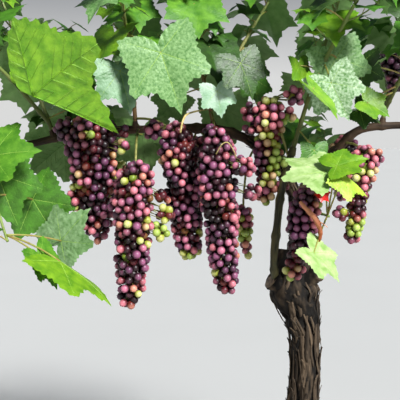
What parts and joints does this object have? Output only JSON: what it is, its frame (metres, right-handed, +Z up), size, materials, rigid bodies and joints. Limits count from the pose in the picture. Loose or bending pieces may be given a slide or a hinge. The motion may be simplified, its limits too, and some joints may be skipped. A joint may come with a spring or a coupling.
{
  "type": "potted grapevine",
  "caption": "Fruiting grapevine with a gnarled trunk, long canes, leafy shoots and hanging grape bunches, standing in a plain round clay pot.",
  "frame": {"origin": "centre of the pot's flat underside, on the ground", "axes": "+X to the right seen from the front, +Y away from the viewer, +Z up along the trunk"},
  "size_m": [1.3562, 0.5934, 1.5435],
  "materials": {
    "clay": "matt fired clay",
    "soil": "damp crumbly soil",
    "bark": "rough stringy bark",
    "leaf": "satin leaf",
    "grape": "waxy grape skin"
  },
  "bodies": {
    "root": {"pot": "clay", "soil": "soil", "trunk": "bark", "arm": "bark", "left_arm": "bark", "left_cane": "bark", "right_arm": "bark", "right_cane": "bark", "side_cane": "bark", "bunch_left": "grape", "bunch_left_low": "grape", "bunch_middle_left": "grape", "bunch_middle": "grape", "bunch_middle_right": "grape", "bunch_behind": "grape", "bunch_trunk": "grape", "bunch_right": "grape", "bunch_far_right": "grape", "bunch_far_left": "grape", "bunch_back_left": "grape", "bunch_back_middle": "grape", "bunch_back_right": "grape", "bunch_right_end": "grape", "leaves_left_end": "leaf", "leaves_left": "leaf", "leaves_left_middle": "leaf", "leaves_middle": "leaf", "leaves_tall": "leaf", "leaves_right": "leaf", "leaves_right_end": "leaf", "leaves_back_left": "leaf", "leaves_back_right": "leaf", "leaves_low_front": "leaf"}
  },
  "joints": []
}
